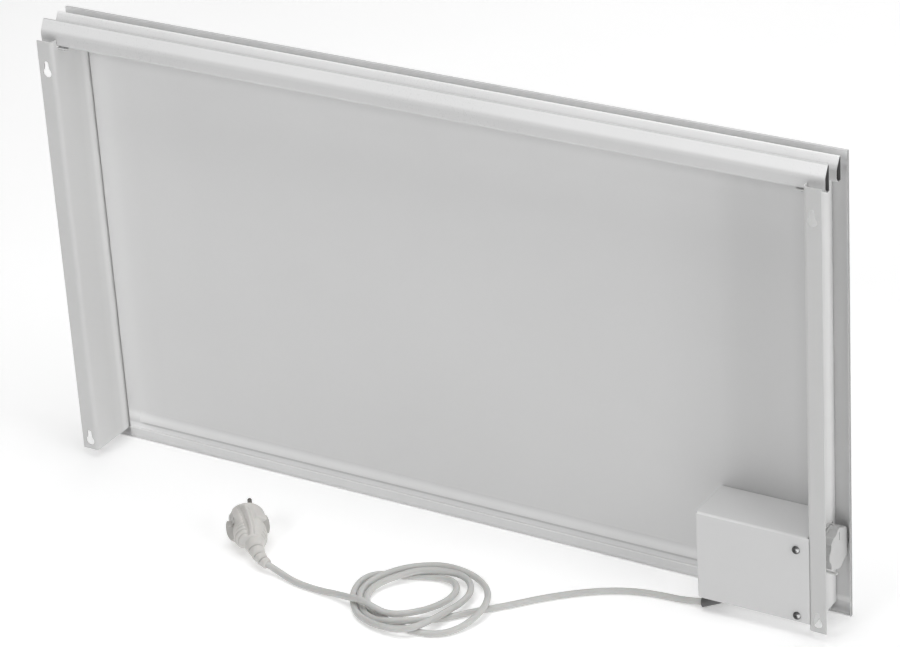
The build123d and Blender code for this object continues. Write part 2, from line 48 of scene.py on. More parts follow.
# --------------------------------------------------------------------- camera
cam_data = bpy.data.cameras.new("camera")
cam_data.lens = 147.447
cam_data.sensor_width = 36.0
cam_data.sensor_fit = "HORIZONTAL"
cam_data.clip_start = 0.05
cam_data.clip_end = 60.0
cam = bpy.data.objects.new("camera", cam_data)
scene.collection.objects.link(cam)
cx = Vector((-0.86038, -0.50645, -0.05706))
cy = Vector((0.19028, -0.42308, 0.88589))
cz = Vector((-0.47280, 0.75134, 0.46038))
rot = Matrix((cx, cy, cz)).transposed().to_4x4()
cam.matrix_world = Matrix.Translation((-1.74597, 2.71943, 1.69287)) @ rot
scene.camera = cam

# ----------------------------------------------------------------- mains cord
CORD_D = 0.0068
CORD_POINTS = [
    (-0.3012, -0.0089, -0.2286), (-0.2810, -0.0070, -0.2312), (-0.2580, -0.0062, -0.2314), (-0.2360, -0.0030, -0.2314),
    (-0.2140, 0.0044, -0.2314), (-0.1930, 0.0158, -0.2314), (-0.1720, 0.0316, -0.2314), (-0.1510, 0.0506, -0.2314),
    (-0.1320, 0.0716, -0.2314), (-0.1152, 0.0882, -0.2314), (-0.1049, 0.0994, -0.2309), (-0.0974, 0.1076, -0.2308),
    (-0.0867, 0.1189, -0.2314), (-0.0750, 0.1324, -0.2302), (-0.0637, 0.1458, -0.2264), (-0.0517, 0.1556, -0.2237),
    (-0.0378, 0.1597, -0.2261), (-0.0218, 0.1568, -0.2296), (-0.0063, 0.1486, -0.2311), (0.0067, 0.1353, -0.2309),
    (0.0158, 0.1197, -0.2305), (0.0179, 0.1054, -0.2294), (0.0141, 0.0928, -0.2274), (0.0057, 0.0820, -0.2250),
    (-0.0034, 0.0709, -0.2239), (-0.0126, 0.0598, -0.2249), (-0.0247, 0.0503, -0.2255), (-0.0403, 0.0456, -0.2250),
    (-0.0585, 0.0459, -0.2249), (-0.0772, 0.0497, -0.2259), (-0.0925, 0.0574, -0.2280), (-0.1020, 0.0687, -0.2277),
    (-0.1092, 0.0814, -0.2253), (-0.1144, 0.0953, -0.2239), (-0.1146, 0.1120, -0.2263), (-0.1098, 0.1288, -0.2294),
    (-0.1008, 0.1435, -0.2311), (-0.0876, 0.1533, -0.2313), (-0.0711, 0.1563, -0.2313), (-0.0536, 0.1547, -0.2313),
    (-0.0366, 0.1510, -0.2312), (-0.0209, 0.1469, -0.2312), (-0.0081, 0.1408, -0.2313), (0.0006, 0.1313, -0.2313),
    (0.0061, 0.1229, -0.2304), (0.0083, 0.1132, -0.2293), (0.0069, 0.1023, -0.2281), (0.0011, 0.0902, -0.2268),
    (-0.0080, 0.0787, -0.2255), (-0.0178, 0.0683, -0.2242), (-0.0305, 0.0600, -0.2244), (-0.0465, 0.0550, -0.2247),
    (-0.0641, 0.0546, -0.2245), (-0.0790, 0.0623, -0.2254), (-0.0877, 0.0781, -0.2270), (-0.0883, 0.0999, -0.2264),
    (-0.0849, 0.1223, -0.2240), (-0.0804, 0.1412, -0.2233), (-0.0742, 0.1545, -0.2240), (-0.0654, 0.1631, -0.2255),
    (-0.0534, 0.1671, -0.2270), (-0.0388, 0.1668, -0.2279), (-0.0213, 0.1638, -0.2290), (-0.0021, 0.1548, -0.2304),
    (0.0132, 0.1379, -0.2314), (0.0237, 0.1200, -0.2308), (0.0270, 0.1051, -0.2300), (0.0249, 0.0925, -0.2289),
    (0.0182, 0.0823, -0.2293), (0.0073, 0.0753, -0.2309), (-0.0076, 0.0711, -0.2313), (-0.0235, 0.0650, -0.2314),
    (-0.0392, 0.0600, -0.2308), (-0.0519, 0.0603, -0.2296), (-0.0619, 0.0646, -0.2288), (-0.0689, 0.0726, -0.2285),
    (-0.0724, 0.0842, -0.2286), (-0.0715, 0.0998, -0.2287), (-0.0634, 0.1204, -0.2276), (-0.0517, 0.1363, -0.2262),
    (-0.0404, 0.1450, -0.2256), (-0.0290, 0.1485, -0.2244), (-0.0160, 0.1474, -0.2216), (-0.0005, 0.1442, -0.2194),
    (0.0156, 0.1380, -0.2252), (0.0340, 0.1332, -0.2288), (0.0540, 0.1318, -0.2310), (0.0740, 0.1304, -0.2314),
    (0.0920, 0.1272, -0.2313), (0.1102, 0.1219, -0.2292), (0.1273, 0.1189, -0.2252),
]
cord_data = bpy.data.curves.new("mains_cord", "CURVE")
cord_data.dimensions = "3D"
sp = cord_data.splines.new("NURBS")
sp.points.add(len(CORD_POINTS) - 1)
for i, p in enumerate(CORD_POINTS):
    sp.points[i].co = (p[0], p[1], p[2], 1.0)
    sp.points[i].radius = CORD_D / 2
sp.order_u = 3
sp.use_endpoint_u = True
sp.resolution_u = 10
cord_data.bevel_depth = 1.0
cord_data.bevel_resolution = 7
cord_data.use_fill_caps = True
cord = bpy.data.objects.new("mains_cord", cord_data)
scene.collection.objects.link(cord)
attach(cord, "heater")
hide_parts("cord_run_heater", "cord_coil", "cord_run_plug")


# ------------------------------------------------------------------ materials
class Mat:
    """a small builder for procedural materials, in object coordinates (metres)"""

    def __init__(self, name):
        self.m = bpy.data.materials.new(name)
        self.m.use_nodes = True
        self.t = self.m.node_tree
        self.t.nodes.clear()
        self.out = self.t.nodes.new("ShaderNodeOutputMaterial")
        self.b = self.t.nodes.new("ShaderNodeBsdfPrincipled")
        self.t.links.new(self.b.outputs[0], self.out.inputs[0])
        tc = self.t.nodes.new("ShaderNodeTexCoord")
        self.co = tc.outputs["Object"]

    def scaled(self, sx, sy, sz):
        n = self.t.nodes.new("ShaderNodeMapping")
        n.inputs["Scale"].default_value = (sx, sy, sz)
        self.t.links.new(self.co, n.inputs["Vector"])
        return n.outputs[0]

    def noise(self, scale, detail=2.0, rough=0.5, co=None, distortion=0.0):
        n = self.t.nodes.new("ShaderNodeTexNoise")
        n.inputs["Scale"].default_value = scale
        n.inputs["Detail"].default_value = detail
        n.inputs["Roughness"].default_value = rough
        n.inputs["Distortion"].default_value = distortion
        self.t.links.new(co or self.co, n.inputs["Vector"])
        return n.outputs["Fac"]

    def voronoi(self, scale, feature="F1", co=None):
        n = self.t.nodes.new("ShaderNodeTexVoronoi")
        n.feature = feature
        n.inputs["Scale"].default_value = scale
        self.t.links.new(co or self.co, n.inputs["Vector"])
        return n.outputs["Distance"]

    def remap(self, fac, a, b, c, d):
        n = self.t.nodes.new("ShaderNodeMapRange")
        n.inputs["From Min"].default_value = a
        n.inputs["From Max"].default_value = b
        n.inputs["To Min"].default_value = c
        n.inputs["To Max"].default_value = d
        self.t.links.new(fac, n.inputs["Value"])
        return n.outputs["Result"]

    def ramp(self, fac, stops):
        n = self.t.nodes.new("ShaderNodeValToRGB")
        e = n.color_ramp.elements
        while len(e) < len(stops):
            e.new(0.5)
        for i, (pos, col) in enumerate(stops):
            e[i].position = pos
            e[i].color = (*col, 1.0)
        self.t.links.new(fac, n.inputs["Fac"])
        return n.outputs["Color"]

    def math(self, op, a, b):
        n = self.t.nodes.new("ShaderNodeMath")
        n.operation = op
        for i, v in enumerate((a, b)):
            if isinstance(v, (int, float)):
                n.inputs[i].default_value = v
            else:
                self.t.links.new(v, n.inputs[i])
        return n.outputs[0]

    def mixcol(self, fac, a, b, mode="MIX"):
        n = self.t.nodes.new("ShaderNodeMix")
        n.data_type = "RGBA"
        n.blend_type = mode
        for key, v in (("Factor", fac), ("A", a), ("B", b)):
            sock = [s for s in n.inputs if s.name == key and s.type == ("VALUE" if key == "Factor" else "RGBA")][0]
            if isinstance(v, (int, float)):
                sock.default_value = v
            elif isinstance(v, tuple):
                sock.default_value = (*v, 1.0)
            else:
                self.t.links.new(v, sock)
        return [s for s in n.outputs if s.type == "RGBA"][0]

    def base(self, v):
        self.t.links.new(v, self.b.inputs["Base Color"])

    def rough(self, v):
        self.t.links.new(v, self.b.inputs["Roughness"])

    def bump(self, heights):
        """heights: (value, distance in metres, strength) from coarse to fine"""
        prev = None
        for h, dist, strength in heights:
            n = self.t.nodes.new("ShaderNodeBump")
            n.inputs["Distance"].default_value = dist
            n.inputs["Strength"].default_value = strength
            self.t.links.new(h, n.inputs["Height"])
            if prev is not None:
                self.t.links.new(prev, n.inputs["Normal"])
            prev = n.outputs[0]
        self.t.links.new(prev, self.b.inputs["Normal"])

    def set(self, **kw):
        names = {"metallic": "Metallic", "ior": "IOR", "specular": "Specular IOR Level", "coat": "Coat Weight",
                 "coat_rough": "Coat Roughness", "sheen": "Sheen Weight", "sheen_rough": "Sheen Roughness",
                 "subsurface": "Subsurface Weight", "sub_scale": "Subsurface Scale", "roughness": "Roughness"}
        for k, v in kw.items():
            self.b.inputs[names[k]].default_value = v
        return self


def shade(c, k):
    return tuple(min(1.0, x * k) for x in c)


def zone(s, c, axis, stops, fac=1.0):
    """multiply a colour by greys laid along one object axis; stops are (metres, grey)"""
    sep = s.t.nodes.new("ShaderNodeSeparateXYZ")
    s.t.links.new(s.co, sep.inputs[0])
    lo, hi = stops[0][0], stops[-1][0]
    along = s.remap(sep.outputs[axis], lo, hi, 0.0, 1.0)
    return s.mixcol(fac, c, s.ramp(along, [((x - lo) / (hi - lo), (g, g, g)) for x, g in stops]), "MULTIPLY")


def within(s, axis, stops):
    """a mask along one object axis; stops are (metres, amount)"""
    sep = s.t.nodes.new("ShaderNodeSeparateXYZ")
    s.t.links.new(s.co, sep.inputs[0])
    lo, hi = stops[0][0], stops[-1][0]
    along = s.remap(sep.outputs[axis], lo, hi, 0.0, 1.0)
    n = s.t.nodes.new("ShaderNodeRGBToBW")
    s.t.links.new(s.ramp(along, [((x - lo) / (hi - lo), (g, g, g)) for x, g in stops]), n.inputs[0])
    return n.outputs[0]


def powder_coat(name, colour, gloss=0.42, zones=(), lines=None):
    """smooth white powder coat: a faint orange peel, fine grain and slow tonal drift"""
    s = Mat(name)
    drift = s.noise(5.0, 3.0, 0.55)
    grain = s.noise(2600.0, 2.0, 0.6)
    mottle = s.noise(160.0, 4.0, 0.6)
    c = s.ramp(drift, [(0.32, shade(colour, 0.975)), (0.68, shade(colour, 1.015))])
    c = s.mixcol(s.remap(mottle, 0.35, 0.65, 0.0, 0.10), c, shade(colour, 0.95))
    c = s.mixcol(s.remap(grain, 0.40, 0.62, 0.0, 0.16), c, shade(colour, 0.93))
    # zones and lines multiply painted light and shade into the coat along object axes
    for axis, stops in zones:
        c = zone(s, c, axis, stops)
    if lines:
        c = lines(s, c)
    s.base(c)
    peel = s.noise(620.0, 2.0, 0.45)
    s.rough(s.math("ADD", s.remap(peel, 0.3, 0.7, gloss - 0.05, gloss + 0.05), s.remap(drift, 0.3, 0.7, -0.03, 0.03)))
    s.bump([(s.noise(140.0, 1.0, 0.4), 0.00020, 0.35), (peel, 0.00010, 0.55), (grain, 0.00003, 0.35)])
    return s.set(ior=1.5, specular=0.5).m


def bead_painted_shadow(s, c):
    """painted shadow line under the bead of the rear sheet, fading out at the bead's ends"""
    ends = within(s, 0, [(-0.418, 0.0), (-0.404, 0.0), (-0.396, 1.0), (0.396, 1.0), (0.404, 0.0), (0.418, 0.0)])
    return zone(s, c, 2, [(-0.2190, 1.0), (-0.2170, 0.97), (-0.2160, 0.78), (-0.2147, 0.79), (-0.2132, 0.95), (-0.2105, 1.0)], ends)


def fold_painted_highlight(s, c):
    """painted highlight along the upper fold of the cover"""
    up = within(s, 2, [(-0.1290, 0.0), (-0.1240, 0.0), (-0.1230, 1.0), (-0.1200, 1.0)])
    out = within(s, 1, [(-0.0080, 0.0), (-0.0030, 0.0), (-0.0016, 1.0), (0.0010, 1.0)])
    side = within(s, 0, [(-0.4220, 0.25), (-0.4000, 0.30), (-0.3300, 0.75), (-0.2990, 0.85)])
    return s.mixcol(s.math("MULTIPLY", s.math("MULTIPLY", up, out), side), c, (0.93, 0.93, 0.93))


def screw_head_painted_glint(name, centres):
    """painted highlight and painted dark reflection ring on a plated screw head; centres are (x, z) in metres"""
    s = Mat(name)
    sep = s.t.nodes.new("ShaderNodeSeparateXYZ")
    s.t.links.new(s.co, sep.inputs[0])
    best = None
    for x, z in centres:
        dx = s.math("SUBTRACT", sep.outputs[0], x)
        dz = s.math("SUBTRACT", sep.outputs[2], z)
        d = s.math("SQRT", s.math("ADD", s.math("MULTIPLY", dx, dx), s.math("MULTIPLY", dz, dz)), 0.0)
        best = d if best is None else s.math("MINIMUM", best, d)
    grime = s.noise(900.0, 3.0, 0.6)
    r = s.math("ADD", best, s.remap(grime, 0.3, 0.7, -0.0002, 0.0002))
    # painted highlight at the centre, fading into a painted dark reflection ring
    c = s.ramp(s.remap(r, 0.0, 0.006, 0.0, 1.0), [(0.0, (0.95, 0.95, 0.95)), (0.20, (0.80, 0.80, 0.80)), (0.38, (0.16, 0.16, 0.16)),
                                                   (0.62, (0.05, 0.05, 0.05)), (1.0, (0.10, 0.10, 0.10))])
    s.base(c)
    s.rough(s.remap(grime, 0.3, 0.7, 0.30, 0.45))
    s.bump([(grime, 0.00002, 0.5)])
    return s.set(metallic=0.2, ior=1.6).m


def moulded(name, colour, gloss=0.4, grain_scale=1800.0, depth=0.00003, sub=0.0):
    """moulded plastic: spark-eroded grain, slight flow clouds"""
    s = Mat(name)
    cloud = s.noise(45.0, 3.0, 0.6)
    grain = s.noise(grain_scale, 3.0, 0.6)
    c = s.ramp(cloud, [(0.3, shade(colour, 0.965)), (0.7, shade(colour, 1.02))])
    c = s.mixcol(s.remap(grain, 0.4, 0.65, 0.0, 0.22), c, shade(colour, 0.90))
    s.base(c)
    s.rough(s.math("ADD", s.remap(grain, 0.3, 0.7, gloss - 0.06, gloss + 0.08), s.remap(cloud, 0.3, 0.7, -0.03, 0.03)))
    s.bump([(s.noise(grain_scale * 0.22, 2.0, 0.5), depth * 2.0, 0.35), (grain, depth, 0.6)])
    if sub:
        s.set(subsurface=sub, sub_scale=0.002)
    return s.set(ior=1.49, specular=0.45).m


def metal(name, colour, rough=0.3, spangle=0.0, scratch=0.5):
    """bare or plated metal: fine drawn scratches, handling haze, optional spangle"""
    s = Mat(name)
    haze = s.noise(90.0, 4.0, 0.6)
    sc1 = s.noise(900.0, 2.0, 0.6, s.scaled(1.0, 0.08, 1.0))
    sc2 = s.noise(1500.0, 2.0, 0.6, s.scaled(0.1, 1.0, 1.0))
    c = s.ramp(haze, [(0.3, shade(colour, 0.84)), (0.7, shade(colour, 1.06))])
    if spangle:
        v = s.voronoi(420.0)
        c = s.mixcol(s.remap(v, 0.0, 0.7, 0.0, spangle), c, shade(colour, 0.72))
    c = s.mixcol(s.remap(sc1, 0.55, 0.72, 0.0, 0.25 * scratch), c, shade(colour, 0.6))
    s.base(c)
    s.rough(s.math("ADD", s.remap(haze, 0.3, 0.7, rough - 0.05, rough + 0.12), s.remap(sc2, 0.4, 0.7, 0.0, 0.10 * scratch)))
    s.bump([(sc1, 0.00002, 0.4 * scratch), (sc2, 0.00002, 0.4 * scratch)])
    return s.set(metallic=1.0, ior=1.8).m


def pvc_cord(name, colour):
    """soft white cord jacket: matt skin with extrusion waviness and a dusty tint"""
    s = Mat(name)
    dust = s.noise(60.0, 4.0, 0.65)
    skin = s.noise(2400.0, 3.0, 0.6)
    wave = s.noise(210.0, 2.0, 0.5)
    c = s.ramp(dust, [(0.28, shade(colour, 0.94)), (0.55, colour), (0.8, shade(colour, 1.03))])
    c = s.mixcol(s.remap(skin, 0.42, 0.66, 0.0, 0.25), c, shade(colour, 0.90))
    s.base(c)
    s.rough(s.math("ADD", s.remap(skin, 0.3, 0.7, 0.40, 0.54), s.remap(dust, 0.3, 0.7, -0.04, 0.05)))
    s.bump([(wave, 0.00012, 0.35), (skin, 0.00003, 0.55)])
    return s.set(ior=1.5, specular=0.4, subsurface=0.08, sub_scale=0.0015).m


def felt(name, colour):
    s = Mat(name)
    fib = s.noise(1800.0, 5.0, 0.75, s.scaled(1.0, 1.0, 0.25))
    fib2 = s.noise(1500.0, 5.0, 0.75, s.scaled(0.25, 1.0, 1.0))
    f = s.math("MAXIMUM", fib, fib2)
    s.base(s.ramp(f, [(0.35, shade(colour, 0.65)), (0.7, shade(colour, 1.1))]))
    s.rough(s.remap(f, 0.2, 0.8, 0.85, 1.0))
    s.bump([(f, 0.0004, 0.8)])
    return s.set(specular=0.2, sheen=0.3, sheen_rough=0.5).m


def printed_film(name, colour):
    """heating film: printed carbon stripes between two copper edge bars"""
    s = Mat(name)
    n = s.t.nodes.new("ShaderNodeTexWave")
    n.wave_type = "BANDS"
    n.bands_direction = "Z"
    n.inputs["Scale"].default_value = 22.0
    n.inputs["Distortion"].default_value = 0.3
    s.t.links.new(s.co, n.inputs["Vector"])
    g = s.noise(900.0, 3.0, 0.6)
    c = s.ramp(n.outputs["Fac"], [(0.46, shade(colour, 0.55)), (0.54, shade(colour, 1.3))])
    c = s.mixcol(s.remap(g, 0.4, 0.7, 0.0, 0.3), c, shade(colour, 0.6))
    s.base(c)
    s.rough(s.remap(g, 0.3, 0.7, 0.35, 0.5))
    s.bump([(n.outputs["Fac"], 0.00005, 0.5)])
    return s.set(coat=0.4, coat_rough=0.2).m


WHITE = (0.80, 0.80, 0.80)
mats = {
    # painted light and shade on the rear sheet: lighter towards +X and darker towards -X, lighter along the bottom, a
    # painted shadow under the bead, a painted highlight on the bead, darker above it
    "coat_sheet": powder_coat("coat_sheet", (1.0, 1.0, 1.0), 0.45, [
        (0, [(-0.418, 0.745), (-0.395, 0.757), (-0.380, 0.816), (-0.350, 0.787), (-0.325, 0.790), (-0.300, 0.837), (-0.230, 0.863),
             (0.300, 0.863), (0.370, 0.888), (0.390, 0.925), (0.400, 0.965), (0.418, 1.0)]),
        (2, [(-0.235, 1.06), (-0.2215, 1.06), (-0.2195, 0.97), (-0.2165, 0.96), (-0.2153, 0.80), (-0.2138, 0.82), (-0.2120, 0.90), (-0.2095, 1.0), (-0.2070, 1.06),
             (-0.2045, 1.04), (-0.2020, 0.92), (-0.1990, 0.87), (0.270, 0.87)])], bead_painted_shadow),
    "coat_panel": powder_coat("coat_panel", (0.79, 0.79, 0.79), 0.42),
    # shaded and lit copies of the tray coat: the lip has painted lighter and darker bands along Z, the top and side
    # faces are painted darker
    "coat_panel_lip_painted_light": powder_coat("coat_panel_lip_painted_light", (1.0, 1.0, 1.0), 0.42, [
        (2, [(-0.236, 1.0), (-0.2336, 1.0), (-0.2318, 0.83), (-0.2290, 0.79), (-0.2240, 0.80), (-0.2226, 1.0), (-0.2190, 1.0), (-0.2170, 0.78), (0.2550, 0.78), (0.2578, 0.68), (0.2600, 0.77), (0.2625, 0.90), (0.2650, 1.0)])]),
    "coat_panel_top_shaded": powder_coat("coat_panel_top_shaded", (0.70, 0.70, 0.70), 0.42),
    "coat_panel_side_shaded": powder_coat("coat_panel_side_shaded", (0.37, 0.37, 0.37), 0.5),
    # painted light and shade: each bracket is lighter towards the tray and darker on its flange
    "coat_left": powder_coat("coat_left", (0.89, 0.89, 0.885), 0.42, [
        (1, [(-0.060, 1.0), (-0.051, 1.0), (-0.045, 0.874), (-0.034, 0.830), (-0.003, 0.828), (0.002, 0.750)])]),
    "coat_right": powder_coat("coat_right", (0.90, 0.90, 0.895), 0.42, [
        (1, [(-0.060, 1.0), (-0.052, 0.90), (-0.045, 0.815), (-0.036, 0.745), (-0.003, 0.740), (0.002, 0.722)])]),
    # painted highlight: the right web's outer face brightens towards the tray, and the tab under the knob is painted
    # bright
    "coat_outer_web_painted_highlight": powder_coat("coat_outer_web_painted_highlight", (0.96, 0.96, 0.955), 0.42, [
        (1, [(-0.060, 1.0), (-0.050, 1.0), (-0.044, 0.93), (-0.036, 0.80), (-0.022, 0.715), (0.002, 0.690)])]),
    "coat_tab_painted_highlight": powder_coat("coat_tab_painted_highlight", (0.96, 0.96, 0.955), 0.40),
    "coat_cover": powder_coat("coat_cover", (0.745, 0.745, 0.745), 0.44, (), fold_painted_highlight),
    # painted shade: the blades are darker on their lower parts than on their lit upper slants
    "coat_blade": powder_coat("coat_blade", (0.92, 0.92, 0.92), 0.32, [
        (2, [(0.2400, 0.775), (0.2528, 0.775), (0.2560, 0.86), (0.2592, 1.0), (0.2700, 1.0)])]),
    "coat_blade_middle": powder_coat("coat_blade_middle", (0.98, 0.98, 0.98), 0.32, [
        (2, [(0.2400, 0.72), (0.2580, 0.72), (0.2602, 0.86), (0.2620, 0.92), (0.2645, 1.0), (0.2700, 1.0)])]),
    "coat_blade_edge_shade": powder_coat("coat_blade_edge_shade", (0.68, 0.68, 0.68), 0.40),
    "cut_edge": powder_coat("cut_edge", (0.42, 0.42, 0.42), 0.45),
    "zinc": metal("zinc_plate", (0.62, 0.63, 0.64), 0.34, 0.35, 0.6),
    "screw": metal("nickel_screw", (0.20, 0.198, 0.195), 0.20, 0.0, 0.8),
    "cover_head_glint": screw_head_painted_glint("cover_screw_head_painted_glint", ((-0.4100, -0.1365), (-0.4100, -0.2102))),
    "inside": powder_coat("blade_inside_painted_shade", (0.20, 0.20, 0.20), 0.6),
    "knob": moulded("knob_plastic", (0.60, 0.60, 0.595), 0.36, 1500.0),
    "bezel": moulded("bezel_plastic", (0.74, 0.74, 0.73), 0.42, 1700.0),
    "gland": moulded("gland_plastic", (0.13, 0.13, 0.13), 0.45, 1300.0),
    "cord": pvc_cord("cord_jacket", (0.615, 0.615, 0.60)),
    "plug": moulded("plug_rubber", (0.68, 0.665, 0.64), 0.5, 1900.0, 0.00004, 0.03),
    "strip": moulded("contact_strip", (0.50, 0.49, 0.47), 0.3, 1600.0),
    "plug_shade": moulded("plug_rubber_shade", (0.50, 0.49, 0.47), 0.55, 1900.0, 0.00004),
    "plug_half_shade": moulded("plug_rubber_half_shade", (0.56, 0.545, 0.52), 0.55, 1900.0, 0.00004),
    "pin": metal("nickel_pin", (0.26, 0.25, 0.235), 0.24, 0.0, 1.0),
    "phenolic": moulded("phenolic", (0.035, 0.03, 0.028), 0.35, 1100.0),
    "terminal": moulded("terminal_nylon", (0.72, 0.72, 0.69), 0.4, 1500.0),
    "brass": metal("brass", (0.78, 0.60, 0.30), 0.28, 0.0, 0.8),
    "copper": metal("copper", (0.86, 0.46, 0.32), 0.3, 0.0, 0.6),
    "film": printed_film("element_film", (0.09, 0.085, 0.08)),
    "felt": felt("insulation_felt", (0.78, 0.76, 0.70)),
    "brown": moulded("wire_brown", (0.16, 0.06, 0.03), 0.4, 2000.0),
    "blue": moulded("wire_blue", (0.03, 0.09, 0.36), 0.4, 2000.0),
    "green": moulded("wire_green", (0.10, 0.34, 0.05), 0.4, 2000.0),
}

NODE_MATERIAL = {
    "front_panel": "coat_panel", "rear_sheet": "coat_sheet", "left_bracket": "coat_left",
    "right_bracket": "coat_right", "air_deflector_rear": "coat_blade", "air_deflector_middle": "coat_blade_middle",
    "control_box_cover": "coat_cover", "control_chassis": "zinc", "bracket_studs": "zinc", "stud_clips": "zinc",
    "deflector_screws": "screw", "cover_screws": "cover_head_glint", "chassis_screws": "screw", "chassis_nuts": "zinc",
    "thermostat_body": "phenolic", "thermostat_screws": "screw", "thermostat_terminals": "brass",
    "thermostat_spindle": "zinc", "thermostat_knob": "knob", "knob_bezel": "bezel", "terminal_block": "terminal",
    "terminal_screws": "screw", "thermal_cutoff": "phenolic", "cutoff_terminals": "brass", "earth_screw": "screw",
    "earth_ring": "copper", "earth_nut": "zinc", "cable_gland": "gland", "gland_locknut": "gland",
    "heating_element": "film", "element_busbars": "copper", "insulation_felt": "felt", "wire_live": "brown",
    "wire_neutral": "blue", "wire_earth": "green", "wire_thermostat": "brown", "wire_cutoff": "brown",
    "wire_element": "brown", "plug_body": "plug", "plug_pins": "pin", "plug_earth_contacts": "strip",
    "plug_strain_relief": "plug", "cord_coil": "cord", "cord_run_heater": "cord", "cord_run_plug": "cord",
}
for name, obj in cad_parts.items():
    obj.data.materials.clear()
    obj.data.materials.append(mats[NODE_MATERIAL[name]])
cord_data.materials.append(mats["cord"])

# the faces that look into the blades get a dark grey: painted shade for the hollow inside them
for name, cd, cz_ in (("air_deflector_rear", 0.0130, 0.2542), ("air_deflector_middle", 0.0374, 0.2532)):
    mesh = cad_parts[name].data
    mesh.materials.append(mats["inside"])
    mesh.materials.append(mats["cut_edge"])
    mesh.materials.append(mats["coat_blade_edge_shade"])
    low = min(v.co.z for v in mesh.vertices)
    high = max(v.co.z for v in mesh.vertices)
    for poly in mesh.polygons:
        n = poly.normal
        if abs(n.x) < 0.5 and (poly.center.y + cd) * n.y + (poly.center.z - cz_) * n.z < 0.0:
            poly.material_index = 1
        elif abs(n.x) > 0.9:
            poly.material_index = 2
        # painted shade: the lower edges and the rear blade's top bend get the darker edge copy of the coat
        elif poly.center.z < low + 0.003 or (name == "air_deflector_rear" and poly.center.z > high - 0.0012 and n.z > 0.75):
            poly.material_index = 3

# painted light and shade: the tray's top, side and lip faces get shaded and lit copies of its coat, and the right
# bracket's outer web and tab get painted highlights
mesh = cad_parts["front_panel"].data
mesh.materials.append(mats["coat_panel_top_shaded"])
mesh.materials.append(mats["coat_panel_side_shaded"])
mesh.materials.append(mats["coat_panel_lip_painted_light"])
for poly in mesh.polygons:
    if poly.normal.z > 0.7 and poly.center.z > 0.2:
        poly.material_index = 1
    elif abs(poly.normal.x) > 0.7:
        poly.material_index = 2
    elif poly.normal.y > 0.2 or (poly.normal.z > 0.7 and -0.2300 < poly.center.z < -0.2):
        poly.material_index = 3
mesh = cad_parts["right_bracket"].data
mesh.materials.append(mats["coat_outer_web_painted_highlight"])
mesh.materials.append(mats["coat_tab_painted_highlight"])
# the tab and the outer web faces get the painted highlight copies
for poly in mesh.polygons:
    if poly.center.x < -0.4216 and -0.1785 < poly.center.z < -0.1755 and -0.0372 < poly.center.y < -0.0325:
        poly.material_index = 2
    elif poly.normal.x < -0.5:
        poly.material_index = 1

# ----------------------------------------------------------------------- plug
# local axes in the row frame: Z from the pins to the cord, X along the earth
# contacts; millimetres inside this part, metres in the meshes
PLUG_O = Vector((0.1726, 0.0824, -0.2130))
PLUG_Z = Vector((-0.597, 0.796, -0.105)).normalized()
PLUG_X = Vector((-0.662, -0.562, -0.496))
PLUG_X = (PLUG_X - PLUG_Z * PLUG_X.dot(PLUG_Z)).normalized()
PLUG_Y = PLUG_Z.cross(PLUG_X)
# stations of the grip: z, half width, half height, offsets
GRIP = [(-4.0, 18.8, 18.8, 0.0, 0.0), (4.5, 16.8, 17.2, 1.0, 0.0), (12.0, 17.6, 16.0, 2.4, -0.6),
        (18.0, 17.2, 15.0, 2.6, -1.4), (23.0, 14.2, 11.8, 3.6, -1.0), (26.9, 10.3, 9.3, 5.3, 0.0)]
RIDGE = math.radians(113.0)


def smooth(t):
    t = max(0.0, min(1.0, t))
    return t * t * (3.0 - 2.0 * t)


def station(z):
    """section of the plug body at z, smooth through the stations"""
    if z <= GRIP[0][0]:
        return GRIP[0][1:]
    if z >= GRIP[-1][0]:
        return GRIP[-1][1:]
    k = max(i for i in range(len(GRIP) - 1) if GRIP[i][0] <= z)
    p1, p2 = GRIP[k], GRIP[k + 1]
    p0 = GRIP[k - 1] if k > 0 else (p1[0] - 9.0, 18.8, 18.8, 0.0, 0.0)
    p3 = GRIP[k + 2] if k + 2 < len(GRIP) else (p2[0] + 5.0, 6.5, 6.0, 6.6, 0.6)
    h = p2[0] - p1[0]
    t = (z - p1[0]) / h
    out = []
    for j in (1, 2, 3, 4):
        m1 = (p2[j] - p0[j]) / (p2[0] - p0[0]) * h
        m2 = (p3[j] - p1[j]) / (p3[0] - p1[0]) * h
        out.append((2 * t ** 3 - 3 * t ** 2 + 1) * p1[j] + (t ** 3 - 2 * t ** 2 + t) * m1
                   + (3 * t ** 2 - 2 * t ** 3) * p2[j] + (t ** 3 - t ** 2) * m2)
    return tuple(out)


def angle_off(a, b):
    return abs((a - b + math.pi) % (2 * math.pi) - math.pi)


